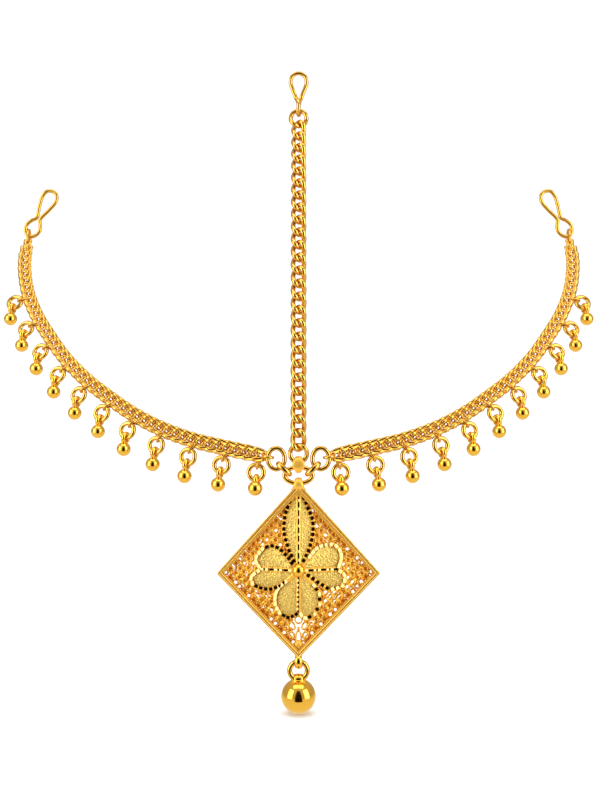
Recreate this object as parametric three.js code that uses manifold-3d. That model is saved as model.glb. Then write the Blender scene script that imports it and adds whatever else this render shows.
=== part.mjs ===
// Matha patti: a gold head jewel of a centre chain, two woven side chains and a pierced pendant.
// Millimetres, +X to the wearer's left as seen from the front, +Y to the back of the head, +Z up.
import * as THREE from 'three';
import { mergeVertices } from 'three/addons/utils/BufferGeometryUtils.js';
import Module from 'manifold-3d';

// Wires
const jumpWire = 1.05;
const dropRingWire = 1.1;
const hookWire = 0.9;
const linkWire = 0.9;
const smallLinkWire = 0.8;
const wireGap = 0.22;
const linkPlay = 0.34;
const solderDepth = 0.25;
const wireSides = 5;
const ringSteps = 11;
const smallRingSteps = 10;
const eyeSteps = 7;
const eyeletSteps = 6;
const centreRingSteps = 16;

// Centre ring, from whose centre everything else is placed
const centreRingHalfWidth = 3.5;
const centreRingHalfHeight = 2.05;

// Band that joins the centre chain to the centre ring
const bandWidth = 2.2;
const bandWall = 0.5;
const bandPlay = 0.45;
const bandSteps = 14;

// Rings at the ends of the centre chain
const endRingRadius = 2.1;
const endRingTwist = 0.75;

// Centre chain
const chainLinks = 25;
const chainWidth = 4.15;
const chainPitch = 3.5;
const chainLinkTwist = 0.75;
const chainSeatShare = 0.85;
const chainLean = 18;
const chainLeanBend = 1.5;

// Outer rings at the inner ends of the side chains
const outerRingHalfWidth = 2.1;
const outerRingHalfHeight = 2.65;
const outerRingChainAngle = 10;
const outerRingLinkAngle = 230;
const centreRingLinkAngle = 30;

// Side chains
const sideChainHeight = 3.45;
const sideChainThickness = 1.6;
const sideChainSteps = 15;
const endLoopWire = 0.8;
const hookPlay = 1.0;
const eyeletWire = 0.6;
const eyeletRadius = 1.15;

// The route of the right side chain, from the outer ring to the side hook, chosen by hand.
// Each row is out, back and up from the centre ring's centre. The left chain mirrors it.
const sideRoute = [
  [8.6, 0.3, 4.8],
  [18.2, 2.6, 6.7],
  [27.1, 5.8, 8.6],
  [35.6, 9.5, 11.4],
  [43.5, 13.5, 15.1],
  [50.8, 17.7, 19.6],
  [57.8, 22.0, 24.5],
  [64.2, 26.5, 30.2],
  [69.7, 31.0, 36.6],
  [74.7, 35.6, 43.4],
  [78.4, 40.2, 50.9],
  [80.4, 45.0, 59.0],
  [80.6, 49.4, 66.0],
];

// Small drops
const dropCount = 11;
const firstDropAt = 1.2;
const dropPitch = 9.25;
const dropRingRadius = 1.95;
const dropRingOut = 4.45;
const beadRadius = 1.85;
const beadHang = 5.0;
const beadEyeWire = 0.95;
const beadEyeRadius = 1.45;
const beadLean = 10;
const firstBeadForward = 52;
const beadSides = 10;
const beadRows = 5;

// Hooks
const hookLoopHalfWidth = 2.13;
const hookLoopUp = 2.6;
const hookNeckDown = 4.2;
const hookNeckHalf = 0.62;
const hookEyeHalf = 1.35;
const hookEyeLength = 4.4;
const hookSteps = 20;
const sideHookTilt = 29;
const sideHookEyeHalf = 2.1;
const sideHookEyeLength = 5.9;
const sideHookLoopLength = 9.3;

// Pendant
const pendantHalfWidth = 20.45;
const pendantHalfHeight = 21.3;
const rimWall = 0.9;
const rimFront = 1.3;
const rimBack = 1.3;
const pyramidRise = 2.4;
const pyramidWall = 0.8;
const pyramidBase = 0.7;
const gridCells = 10;
const cellShare = 0.6;
const solidCornerCells = 1;
const curveSteps = 3;
const petalRaise = 0.8;
const petalLength = 11.8;
const petalNotch = 9.8;
const petalHalfWidth = 5.4;
const leafLength = 18.8;
const leafHalfWidth = 3.6;
const leafWidest = 10.4;
const flowerUp = 1.0;
const flowerBallRadius = 1.75;
const bailWire = 0.8;
const bailInner = 0.9;
const lowerBailWire = 1.0;
const tipClearance = 0.45;

// Large ball and its ring
const ballRingRadius = 2.2;
const ballRingWire = 1.08;
const ballRadius = 4.34;
const ballHang = 4.15;
const ballEyeWire = 0.8;
const ballEyeInner = 0.9;
const ballGrooveGap = 0.4;
const ballSides = 14;
const ballRows = 9;

const wasm = await Module();
wasm.setup();

const gold = new THREE.MeshStandardMaterial({ color: 0xe0a020, roughness: 0.18, metalness: 1 });
const paleGold = new THREE.MeshStandardMaterial({ color: 0xe8bc4a, roughness: 0.42, metalness: 1 });
const frontToBack = new THREE.Vector3(0, 1, 0);
const rightward = new THREE.Vector3(1, 0, 0);
const upward = new THREE.Vector3(0, 0, 1);
const degrees = THREE.MathUtils.degToRad;

const jewel = new THREE.Group();
const assembly = new THREE.Group();
jewel.add(assembly);

function addPiece(name, geometry, material = gold) {
  const mesh = new THREE.Mesh(geometry, material);
  mesh.name = name;
  assembly.add(mesh);
  return mesh;
}

// Joining and cutting
function solidOf(geometry) {
  const bare = geometry.clone();
  bare.deleteAttribute('normal');
  bare.deleteAttribute('uv');
  const merged = mergeVertices(bare);
  const mesh = new wasm.Mesh({
    numProp: 3,
    vertProperties: new Float32Array(merged.attributes.position.array),
    triVerts: new Uint32Array(merged.index.array),
  });
  return new wasm.Manifold(mesh);
}

function geometryOf(solid) {
  const mesh = solid.getMesh();
  const geometry = new THREE.BufferGeometry();
  geometry.setAttribute('position', new THREE.BufferAttribute(new Float32Array(mesh.vertProperties), 3));
  geometry.setIndex(new THREE.BufferAttribute(new Uint32Array(mesh.triVerts), 1));
  geometry.computeVertexNormals();
  return geometry;
}

function fuse(geometries) {
  return geometries.map(solidOf).reduce((whole, piece) => whole.add(piece));
}

// A closed wire: a torus whose rings are laid along a closed curve. `facingAt` gives, for a point of the
// curve, the direction that the loop faces there.
function closedWire(curve, wire, steps, sides, facingAt) {
  const geometry = new THREE.TorusGeometry(1, 0.1, sides, steps);
  const place = geometry.attributes.position;
  const turn = geometry.attributes.uv;
  for (let i = 0; i < place.count; i++) {
    const along = turn.getX(i) % 1;
    const around = turn.getY(i) * 2 * Math.PI;
    const tangent = curve.getTangent(along);
    const spot = curve.getPoint(along);
    const inward = facingAt(spot).cross(tangent).normalize();
    const side = inward.clone().cross(tangent);
    spot.addScaledVector(inward, Math.cos(around) * wire.out / 2);
    spot.addScaledVector(side, Math.sin(around) * wire.side / 2);
    place.setXYZ(i, spot.x, spot.y, spot.z);
  }
  return geometry;
}

// An oval loop about `centre`, with half sizes along two directions and an S-shaped twist across them.
// The twist fades away from the loop's first end where `oneEnded` is set.
class Oval extends THREE.Curve {
  constructor(centre, first, second, twist, oneEnded) {
    super();
    Object.assign(this, { centre, first, second, twist, oneEnded });
  }

  getPoint(t) {
    const angle = t * 2 * Math.PI;
    const fade = this.oneEnded ? (1 + Math.cos(angle)) / 2 : 1;
    return this.centre.clone()
      .addScaledVector(this.first, Math.cos(angle))
      .addScaledVector(this.second, Math.sin(angle))
      .addScaledVector(this.twist, Math.sin(2 * angle) * fade);
  }
}

const straight = new THREE.Vector3();

function ovalRing(centre, first, second, wire, options = {}) {
  const { steps = ringSteps, width = wire, twist = straight, oneEnded = false } = options;
  const facing = first.clone().cross(second).normalize();
  const curve = new Oval(centre, first, second, twist, oneEnded);
  return closedWire(curve, { out: wire, side: width }, steps, wireSides, () => facing.clone());
}

const point = (x, y, z) => new THREE.Vector3(x, y, z);
const scaled = (direction, length) => direction.clone().multiplyScalar(length);

// Centre ring
const centreRingBottom = -centreRingHalfHeight;
addPiece('centre_ring', ovalRing(
  point(0, 0, 0), scaled(rightward, centreRingHalfWidth), scaled(upward, centreRingHalfHeight), jumpWire,
  { steps: centreRingSteps }));

// Joining band, end ring and centre chain
const bandInnerBottom = centreRingHalfHeight - jumpWire / 2 - bandPlay;
const endRingWireUp = centreRingHalfHeight + jumpWire + wireGap;
const bandInnerTop = endRingWireUp + jumpWire / 2 + bandPlay;
const bandCentre = point(0, 0, (bandInnerBottom + bandInnerTop) / 2);
const bandHalfUp = (bandInnerTop - bandInnerBottom + bandWall) / 2;
const bandHalfDeep = (jumpWire + bandWall) / 2 + 2 * wireGap;
addPiece('bail_band', ovalRing(
  bandCentre, scaled(frontToBack, bandHalfDeep), scaled(upward, bandHalfUp), bandWall,
  { steps: bandSteps, width: bandWidth }));

const endRingUp = endRingWireUp + endRingRadius;

// Centre chain, which ends in a round ring at each end
const linkHalfLength = (chainPitch + linkWire * chainSeatShare) / 2;
const linkHalfWidth = (chainWidth - linkWire) / 2;
const linkSeat = (jumpWire + linkWire) / 2 * chainSeatShare;
const chainFirstUp = endRingUp + endRingRadius - linkSeat + linkHalfLength;
const chainRun = (chainLinks - 1) * chainPitch;

// The centre chain leans back as it rises, ever more towards the top.
function chainPlace(along) {
  const share = along / chainRun;
  const back = chainLean * share ** chainLeanBend;
  const slope = chainLean * chainLeanBend * share ** (chainLeanBend - 1) / chainRun;
  const tangent = point(0, slope, 1).normalize();
  return { back, tangent };
}

function endRing(centre, toChain) {
  return ovalRing(centre, scaled(upward, toChain * endRingRadius), scaled(rightward, endRingRadius), jumpWire,
    { twist: scaled(frontToBack, -toChain * endRingTwist), oneEnded: true });
}

const chainGeometries = [endRing(point(0, 0, endRingUp), 1)];
const linkTops = [];
let chainUp = chainFirstUp;
for (let i = 0; i < chainLinks; i++) {
  const { back, tangent } = chainPlace(i * chainPitch);
  const centre = point(0, back, chainUp);
  const facing = rightward.clone().cross(tangent);
  chainGeometries.push(ovalRing(
    centre, scaled(tangent, linkHalfLength), scaled(rightward, linkHalfWidth), linkWire,
    { steps: smallRingSteps, twist: scaled(facing, chainLinkTwist) }));
  linkTops.push(centre.clone().addScaledVector(tangent, linkHalfLength));
  chainUp += chainPitch * tangent.z;
}

const chainEnd = linkTops[linkTops.length - 1];
const chainEndTangent = chainPlace(chainRun).tangent;
const topRingCentre = chainEnd.clone()
  .addScaledVector(chainEndTangent, -linkSeat)
  .addScaledVector(upward, endRingRadius);
chainGeometries.push(endRing(topRingCentre, -1));
addPiece('centre_chain', geometryOf(fuse(chainGeometries)));

// Hooks: a teardrop loop that narrows to a neck, and an eye below it
function hookCurve(shape, eyeTurned) {
  const { half, tip, neck, neckHalf, eyeHalf, eyeLength } = shape;
  const eyeSide = (out, share) => (eyeTurned
    ? point(out * neckHalf * (1 - share), out * eyeHalf * share, 0)
    : point(out * eyeHalf * share, 0, 0));
  const middle = -neck - eyeLength * 0.52;
  const row = (out) => [
    point(out * half * 0.75, 0, tip * 0.72),
    point(out * half, 0, 0),
    point(out * half * 0.72, 0, -neck * 0.45),
    point(out * neckHalf, 0, -neck),
    eyeSide(out, 0.72).add(point(0, 0, -neck - eyeLength * 0.24)),
    eyeSide(out, 1).add(point(0, 0, middle)),
    eyeSide(out, 0.7).add(point(0, 0, -neck - eyeLength * 0.86)),
  ];
  const right = row(1);
  const left = row(-1).reverse();
  const bottom = point(0, 0, -neck - eyeLength);
  return new THREE.CatmullRomCurve3([point(0, 0, tip), ...right, bottom, ...left], true);
}

class HookPath extends THREE.Curve {
  constructor(path) {
    super();
    this.path = path;
  }

  getPoint(t) {
    return this.path.getPointAt(t % 1);
  }
}

function hookWireGeometry(shape, eyeTurned) {
  const section = { out: hookWire, side: hookWire };
  const path = new HookPath(hookCurve(shape, eyeTurned));
  const turnAt = (spot) => (eyeTurned ? THREE.MathUtils.smoothstep(-spot.z, shape.neck, shape.neck + 1.5) : 0);
  const facingAt = (spot) => frontToBack.clone().applyAxisAngle(upward, turnAt(spot) * Math.PI / 2);
  return closedWire(path, section, hookSteps, wireSides, facingAt);
}

const topHookShape = {
  half: hookLoopHalfWidth, tip: hookLoopUp, neck: hookNeckDown, neckHalf: hookNeckHalf,
  eyeHalf: hookEyeHalf, eyeLength: hookEyeLength,
};
const topHookBottom = topRingCentre.z + endRingRadius - (jumpWire + hookWire) / 2 - wireGap;
const topHookCentre = point(0, topRingCentre.y, topHookBottom + hookNeckDown + hookEyeLength);
addPiece('hook_top', hookWireGeometry(topHookShape, true)).position.copy(topHookCentre);

// Side chain route and the frame that travels along it
const route = new THREE.CatmullRomCurve3(sideRoute.map((row) => point(...row)));
const routeLength = route.getLength();

function routeFrame(along) {
  const share = THREE.MathUtils.clamp(along / routeLength, 0, 1);
  const centre = route.getPointAt(share);
  const tangent = route.getTangentAt(share);
  const face = point(0, -1, 0).addScaledVector(tangent, tangent.y).normalize();
  const outward = tangent.clone().cross(face);
  return { centre, tangent, face, outward };
}

// A straight bar of a six-sided section, bent along the route
function sideBar() {
  const high = sideChainHeight / 2;
  const deep = sideChainThickness / 2;
  const flat = high - deep;
  const section = new THREE.Shape([
    new THREE.Vector2(high, 0), new THREE.Vector2(flat, deep), new THREE.Vector2(-flat, deep),
    new THREE.Vector2(-high, 0), new THREE.Vector2(-flat, -deep), new THREE.Vector2(flat, -deep),
  ]);
  const bar = new THREE.ExtrudeGeometry(section, {
    depth: routeLength, steps: sideChainSteps, bevelEnabled: false,
  });
  const place = bar.attributes.position;
  for (let i = 0; i < place.count; i++) {
    const frame = routeFrame(place.getZ(i));
    const spot = frame.centre.clone()
      .addScaledVector(frame.outward, place.getX(i))
      .addScaledVector(frame.face, -place.getY(i));
    place.setXYZ(i, spot.x, spot.y, spot.z);
  }
  return bar;
}

// Loops at the two ends of the side chain, edge on to the front
const endLoopRadius = (jumpWire + endLoopWire) / 2 + linkPlay;
const endLoopReach = endLoopRadius - solderDepth;
const innerFrame = routeFrame(0);
const outerFrame = routeFrame(routeLength);
const innerLoop = innerFrame.centre.clone().addScaledVector(innerFrame.tangent, -endLoopReach);
const outerLoop = outerFrame.centre.clone().addScaledVector(outerFrame.tangent, endLoopReach + hookPlay);

function endLoop(centre, frame, play = 0) {
  return ovalRing(centre, scaled(frame.tangent, endLoopRadius + play), scaled(frame.face, endLoopRadius),
    endLoopWire, { steps: smallRingSteps });
}

// Small drops: the place of each eyelet, jump ring and bead. A bead hangs down, leaning a little outward, and the
// first one also swings forward over its ring. `grip` is where its eye holds the ring.
function dropFrame(index) {
  const { centre, tangent, face, outward } = routeFrame(firstDropAt + index * dropPitch);
  const ringCentre = centre.clone().addScaledVector(outward, dropRingOut);
  const eyelet = centre.clone().addScaledVector(outward, dropRingOut - dropRingRadius);
  const forward = index === 0 ? degrees(firstBeadForward) : 0;
  const hang = point(Math.sin(degrees(beadLean)), 0, -Math.cos(degrees(beadLean)))
    .multiplyScalar(Math.cos(forward))
    .addScaledVector(frontToBack, -Math.sin(forward));
  const ringDown = hang.clone().addScaledVector(face, -hang.dot(face)).normalize();
  const grip = ringCentre.clone().addScaledVector(ringDown, dropRingRadius);
  const eyeDeep = hang.clone().cross(ringDown.clone().cross(face)).normalize();
  return { ringCentre, eyelet, tangent, face, outward, hang, grip, eyeDeep };
}

const drops = Array.from({ length: dropCount }, (_, index) => dropFrame(index));

function eyeletLoop(drop) {
  return ovalRing(drop.eyelet, scaled(drop.outward, eyeletRadius), scaled(drop.face, eyeletRadius), eyeletWire,
    { steps: eyeletSteps });
}

const sideChain = fuse([
  sideBar(), endLoop(innerLoop, innerFrame), endLoop(outerLoop, outerFrame, hookPlay), ...drops.map(eyeletLoop),
]);

function jumpRing(drop) {
  return ovalRing(drop.ringCentre, scaled(drop.outward, dropRingRadius), scaled(drop.tangent, dropRingRadius),
    dropRingWire, { steps: smallRingSteps });
}

function bead(drop) {
  const eyeSlack = beadEyeRadius - beadEyeWire / 2 - dropRingWire / 2 - wireGap;
  const eyeCentre = drop.grip.clone().addScaledVector(drop.hang, eyeSlack);
  const eye = ovalRing(eyeCentre, scaled(drop.hang, beadEyeRadius), scaled(drop.eyeDeep, beadEyeRadius),
    beadEyeWire, { steps: eyeSteps });
  const ball = new THREE.SphereGeometry(beadRadius, beadSides, beadRows);
  ball.applyQuaternion(new THREE.Quaternion().setFromUnitVectors(frontToBack, drop.hang));
  const centre = drop.grip.clone().addScaledVector(drop.hang, beadHang - dropRingRadius);
  ball.translate(centre.x, centre.y, centre.z);
  return fuse([ball, eye]);
}

// The left side mirrors the right, with the order of each face's corners turned over to keep it facing out.
function mirrored(geometry) {
  const copy = geometry.clone().scale(-1, 1, 1);
  const corners = copy.index.array;
  for (let i = 0; i < corners.length; i += 3) {
    [corners[i], corners[i + 1]] = [corners[i + 1], corners[i]];
  }
  copy.computeVertexNormals();
  return copy;
}

function addPair(name, geometry, suffix = '') {
  addPiece(`${name}_right${suffix}`, geometry);
  addPiece(`${name}_left${suffix}`, mirrored(geometry));
}

addPair('side_chain', geometryOf(sideChain));
drops.forEach((drop, index) => {
  const suffix = `_${String(index + 1).padStart(2, '0')}`;
  addPair('ring', jumpRing(drop), suffix);
  addPair('bead', geometryOf(bead(drop)), suffix);
});

// A place on an oval ring in the front plane, by the angle from its right-hand side
function onRing(centre, halfWidth, halfHeight, angle) {
  const turn = degrees(angle);
  return centre.clone().add(point(Math.cos(turn) * halfWidth, 0, Math.sin(turn) * halfHeight));
}

// Outer rings, pulled by the side chains, and the small links that join them to the centre ring
const ringToLoop = onRing(point(0, 0, 0), outerRingHalfWidth, outerRingHalfHeight, outerRingChainAngle);
const outerRingCentre = innerLoop.clone().sub(ringToLoop);
addPair('outer_ring', ovalRing(
  outerRingCentre, scaled(rightward, outerRingHalfWidth), scaled(upward, outerRingHalfHeight), jumpWire));

const outerGrip = onRing(outerRingCentre, outerRingHalfWidth, outerRingHalfHeight, outerRingLinkAngle);
const centreGrip = onRing(point(0, 0, 0), centreRingHalfWidth, centreRingHalfHeight, centreRingLinkAngle);
const gripSpan = outerGrip.clone().sub(centreGrip);
const smallLinkDeep = (jumpWire + smallLinkWire) / 2 + linkPlay;
addPair('link', ovalRing(
  centreGrip.clone().addScaledVector(gripSpan, 0.5),
  scaled(gripSpan.clone().normalize(), gripSpan.length() / 2 + smallLinkDeep),
  scaled(frontToBack, smallLinkDeep), smallLinkWire, { steps: smallRingSteps }));

// Side hooks, whose eye hangs through the end loop of the side chain
const sideHookShape = {
  half: hookLoopHalfWidth, tip: hookLoopUp, neck: sideHookLoopLength - hookLoopUp, neckHalf: hookNeckHalf,
  eyeHalf: sideHookEyeHalf, eyeLength: sideHookEyeLength,
};
const sideHookTurn = degrees(sideHookTilt);
const sideHookBottom = sideHookShape.neck + sideHookEyeLength;
const sideHookCentre = outerLoop.clone()
  .add(point(-Math.sin(sideHookTurn), 0, Math.cos(sideHookTurn)).multiplyScalar(sideHookBottom));
const sideHook = hookWireGeometry(sideHookShape, false);
sideHook.rotateY(-sideHookTurn);
sideHook.translate(sideHookCentre.x, sideHookCentre.y, sideHookCentre.z);
addPair('hook', sideHook);

// Pendant
const pendantTop = centreRingBottom - jumpWire / 2 - tipClearance;
const pendantCentre = point(0, 0, pendantTop - pendantHalfHeight);

// A prism along the depth: the outline is drawn in x and z, and runs from `back` forward to `front`.
function prism(shape, front, back) {
  const geometry = new THREE.ExtrudeGeometry(shape, { depth: back - front, bevelEnabled: false });
  geometry.rotateX(Math.PI / 2);
  geometry.translate(0, back, 0);
  return geometry;
}

function rhombus(halfWidth, halfHeight, x = 0, z = 0) {
  return [[halfWidth, 0], [0, halfHeight], [-halfWidth, 0], [0, -halfHeight]]
    .map(([across, up]) => new THREE.Vector2(x + across, z + up));
}

// Width taken off each half size so that the wall keeps its thickness along the slanted edge
const edgeLength = Math.hypot(pendantHalfWidth, pendantHalfHeight);
const wallShare = rimWall * edgeLength / (pendantHalfWidth * pendantHalfHeight);
const innerShare = 1 - wallShare;

function rim() {
  const shape = new THREE.Shape(rhombus(pendantHalfWidth, pendantHalfHeight));
  shape.holes.push(new THREE.Path(rhombus(pendantHalfWidth * innerShare, pendantHalfHeight * innerShare)));
  return solidOf(prism(shape, -rimFront, rimBack));
}

// A low pyramid pointing forward, its base a little larger than the rim's opening, moved by `back`
const baseShare = innerShare + wallShare * 0.5;

function pyramid(back) {
  const geometry = new THREE.ConeGeometry(1, 1, 4);
  geometry.rotateX(Math.PI);
  geometry.scale(pendantHalfWidth * baseShare, pyramidRise + pyramidWall, pendantHalfHeight * baseShare);
  geometry.translate(0, back + pyramidBase - (pyramidRise + pyramidWall) / 2, 0);
  return solidOf(geometry);
}

// The flower's outlines, drawn outward along +z before they are turned to their place
function petalShape() {
  const shape = new THREE.Shape();
  const side = (out) => [
    [out * petalHalfWidth * 0.5, petalLength * 0.2, out * petalHalfWidth, petalLength * 0.35,
      out * petalHalfWidth, petalLength * 0.66],
    [out * petalHalfWidth, petalLength * 0.9, out * petalHalfWidth * 0.72, petalLength,
      out * petalHalfWidth * 0.48, petalLength],
    [out * petalHalfWidth * 0.2, petalLength, 0, petalNotch * 1.06, 0, petalNotch],
  ];
  shape.moveTo(0, 0);
  side(1).forEach((curve) => shape.bezierCurveTo(...curve));
  const [first, second, third] = side(-1);
  shape.bezierCurveTo(third[2], third[3], third[0], third[1], second[4], second[5]);
  shape.bezierCurveTo(second[2], second[3], second[0], second[1], first[4], first[5]);
  shape.bezierCurveTo(first[2], first[3], first[0], first[1], 0, 0);
  return shape;
}

function leafShape() {
  const shape = new THREE.Shape();
  const w = leafHalfWidth;
  shape.moveTo(0, 0);
  shape.bezierCurveTo(w * 0.2, leafWidest * 0.4, w, leafWidest * 0.55, w, leafWidest);
  shape.bezierCurveTo(w, leafLength * 0.75, w * 0.25, leafLength * 0.88, 0, leafLength);
  shape.bezierCurveTo(-w * 0.25, leafLength * 0.88, -w, leafLength * 0.75, -w, leafWidest);
  shape.bezierCurveTo(-w, leafWidest * 0.55, -w * 0.2, leafWidest * 0.4, 0, 0);
  return shape;
}

const petalTurns = [90, 180, 270];
const flowerParts = [{ shape: leafShape(), turn: 0 }, ...petalTurns.map((turn) => ({ shape: petalShape(), turn }))];

function petalOutline({ shape, turn }) {
  return shape.getPoints(curveSteps).map((spot) => {
    const turned = spot.clone().rotateAround(new THREE.Vector2(), degrees(turn));
    return turned.add(new THREE.Vector2(0, flowerUp));
  });
}

const outlines = flowerParts.map(petalOutline);

function insideOutline(outline, x, z) {
  let inside = false;
  outline.forEach((a, i) => {
    const b = outline[(i + 1) % outline.length];
    if ((a.y > z) !== (b.y > z) && x < a.x + (b.x - a.x) * (z - a.y) / (b.y - a.y)) {
      inside = !inside;
    }
  });
  return inside;
}

// The pierced net: rhombic cells in rows along the edges, left whole behind the flower and in the corners
function netShape() {
  const shape = new THREE.Shape(rhombus(pendantHalfWidth * baseShare, pendantHalfHeight * baseShare));
  const cellWidth = pendantHalfWidth * innerShare / gridCells;
  const cellHeight = pendantHalfHeight * innerShare / gridCells;
  const solidCorner = gridCells - 1 - solidCornerCells;
  for (let i = 0; i < gridCells; i++) {
    for (let j = 0; j < gridCells; j++) {
      const across = i - j;
      const up = i + j - (gridCells - 1);
      const x = across * cellWidth;
      const z = up * cellHeight;
      const covered = outlines.some((outline) => insideOutline(outline, x, z));
      if (!covered && Math.abs(up) <= solidCorner && Math.abs(across) <= solidCorner) {
        shape.holes.push(new THREE.Path(rhombus(cellWidth * cellShare, cellHeight * cellShare, x, z)));
      }
    }
  }
  return shape;
}

// A bail: a loop edge on to the front, whose hole leaves room for the ring that it holds
function bail(centre, inner, wire) {
  const radius = inner + wire / 2;
  return solidOf(ovalRing(centre, scaled(frontToBack, radius), scaled(upward, radius), wire,
    { steps: smallRingSteps }));
}

const deepFront = -rimFront - pyramidRise * 2;
const net = pyramid(0).subtract(pyramid(pyramidWall)).intersect(solidOf(prism(netShape(), deepFront, rimBack)));
const reliefShell = pyramid(-petalRaise).subtract(pyramid(pyramidWall / 2));
const flower = outlines
  .map((outline) => solidOf(prism(new THREE.Shape(outline), deepFront, rimBack)))
  .reduce((whole, petal) => whole.add(petal))
  .intersect(reliefShell);
const apexFront = pyramidBase - pyramidRise - pyramidWall - petalRaise;
const flowerBall = new THREE.SphereGeometry(flowerBallRadius, smallRingSteps, eyeSteps);
flowerBall.translate(0, apexFront + flowerBallRadius * 0.3, flowerUp);

const upperBailDown = bailInner - jumpWire / 2 - wireGap;
const upperBailCentre = point(0, 0, centreRingBottom - upperBailDown - pendantCentre.z);
const ballRingTop = pendantCentre.z - pendantHalfHeight - tipClearance - ballRingWire / 2;
const lowerBailUp = bailInner - ballRingWire / 2 - wireGap;
const lowerBailCentre = point(0, 0, ballRingTop + lowerBailUp - pendantCentre.z);
const pendant = rim()
  .add(net)
  .add(flower)
  .add(solidOf(flowerBall))
  .add(bail(upperBailCentre, bailInner, bailWire))
  .add(bail(lowerBailCentre, bailInner, lowerBailWire));
addPiece('pendant', geometryOf(pendant), paleGold).position.copy(pendantCentre);

// Ring and large ball below the pendant
const ballRingCentre = point(0, 0, ballRingTop - ballRingRadius);
const ballRing = (wire, steps = ringSteps) => ovalRing(
  ballRingCentre, scaled(rightward, ballRingRadius), scaled(upward, ballRingRadius), wire, { steps });
addPiece('drop_ring', ballRing(ballRingWire));

const ballAxleUp = ballRingCentre.z - ballRingRadius;
const ballCentre = point(0, 0, ballAxleUp - ballHang);
const ball = new THREE.SphereGeometry(ballRadius, ballSides, ballRows);
ball.rotateX(Math.PI / 2);
ball.translate(0, 0, ballCentre.z);
const ballEyeDown = ballEyeInner - ballRingWire / 2 - wireGap;
const ballEyeCentre = point(0, 0, ballAxleUp - ballEyeDown);
const dropBall = solidOf(ball)
  .subtract(solidOf(ballRing(ballRingWire + 2 * ballGrooveGap)))
  .add(bail(ballEyeCentre, ballEyeInner, ballEyeWire));
addPiece('drop_ball', geometryOf(dropBall));

// The origin is the middle of the top hook's loop, where the jewel is pinned to the hair.
assembly.position.copy(topHookCentre).negate();

export default jewel;
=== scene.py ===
"""Looks of the gold matha patti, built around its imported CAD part.

Lengths are millimetres in the part's drawing frame: the origin is the middle of the centre ring, x runs to
the right of the picture, y to the back of the head and z up. piece() moves them to the row frame, in metres.
"""

import bpy
import numpy as np
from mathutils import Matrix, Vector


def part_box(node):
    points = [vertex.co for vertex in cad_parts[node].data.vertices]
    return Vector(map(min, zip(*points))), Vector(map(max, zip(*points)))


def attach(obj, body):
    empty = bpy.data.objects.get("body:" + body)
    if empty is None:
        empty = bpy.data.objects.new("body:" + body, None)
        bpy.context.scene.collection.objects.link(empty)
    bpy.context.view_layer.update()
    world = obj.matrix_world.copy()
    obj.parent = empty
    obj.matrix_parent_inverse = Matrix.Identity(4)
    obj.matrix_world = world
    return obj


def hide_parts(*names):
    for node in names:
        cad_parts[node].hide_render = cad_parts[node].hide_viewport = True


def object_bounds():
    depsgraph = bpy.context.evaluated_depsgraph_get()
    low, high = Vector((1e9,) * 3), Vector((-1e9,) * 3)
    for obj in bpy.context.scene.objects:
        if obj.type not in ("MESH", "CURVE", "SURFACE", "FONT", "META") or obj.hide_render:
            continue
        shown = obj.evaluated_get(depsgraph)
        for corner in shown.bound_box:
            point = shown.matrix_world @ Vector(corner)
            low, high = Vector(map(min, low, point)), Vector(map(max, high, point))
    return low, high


MM = 0.001
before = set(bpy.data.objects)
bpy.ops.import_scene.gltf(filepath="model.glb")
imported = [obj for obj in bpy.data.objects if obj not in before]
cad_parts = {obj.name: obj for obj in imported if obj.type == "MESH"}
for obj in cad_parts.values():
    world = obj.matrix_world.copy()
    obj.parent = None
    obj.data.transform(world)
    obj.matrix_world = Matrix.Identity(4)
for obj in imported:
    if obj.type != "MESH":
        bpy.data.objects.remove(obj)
cad_low, cad_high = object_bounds()
ring_low, ring_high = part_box("centre_ring")
ORIGIN = (np.array(ring_low) + np.array(ring_high)) / 2

RIGHT = np.array([1.0, 0, 0])
BACK = np.array([0, 1.0, 0])
UP = np.array([0, 0, 1.0])
MIDDLE = np.zeros(3)
FULL_TURN = 2 * np.pi

# Sizes shared with the CAD part
JUMP_WIRE, HOOK_WIRE, LINK_WIRE, LOOP_WIRE, SMALL_LINK_WIRE = 1.05, 0.9, 0.9, 0.8, 0.8
WIRE_GAP, LINK_PLAY, HOOK_PLAY, BAND_PLAY = 0.22, 0.34, 1.0, 0.45
SOLDER = 0.25
RING_WIDE, RING_HIGH = 3.5, 2.05
BAND_WALL = 0.5
END_RING = 2.1
CHAIN_LINKS, CHAIN_PITCH, CHAIN_WIDE, SEAT_SHARE = 25, 3.5, 4.15, 0.85
CHAIN_LEAN, LEAN_BEND = 18, 1.5
OUTER_WIDE, OUTER_HIGH = 2.1, 2.65
OUTER_CHAIN_ANGLE, OUTER_LINK_ANGLE, CENTRE_LINK_ANGLE = 10, 230, 30
DROPS, FIRST_DROP, DROP_PITCH = 11, 1.2, 9.25
DROP_RING, DROP_OUT = 1.95, 4.45
BEAD, BEAD_HANG, BEAD_LEAN, FIRST_BEAD_FORWARD = 1.85, 5.0, 10, 52.0
HOOK_HALF, HOOK_TIP, HOOK_NECK_HALF = 2.13, 2.6, 0.62
TOP_NECK, TOP_EYE_HALF, TOP_EYE = 4.2, 1.35, 4.4
SIDE_NECK, SIDE_EYE_HALF, SIDE_EYE, SIDE_TILT = 6.7, 2.1, 5.9, 29
ROUTE = np.array([
    [8.6, 0.3, 4.8], [18.2, 2.6, 6.7], [27.1, 5.8, 8.6], [35.6, 9.5, 11.4], [43.5, 13.5, 15.1],
    [50.8, 17.7, 19.6], [57.8, 22.0, 24.5], [64.2, 26.5, 30.2], [69.7, 31.0, 36.6], [74.7, 35.6, 43.4],
    [78.4, 40.2, 50.9], [80.4, 45.0, 59.0], [80.6, 49.4, 66.0]])
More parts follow.
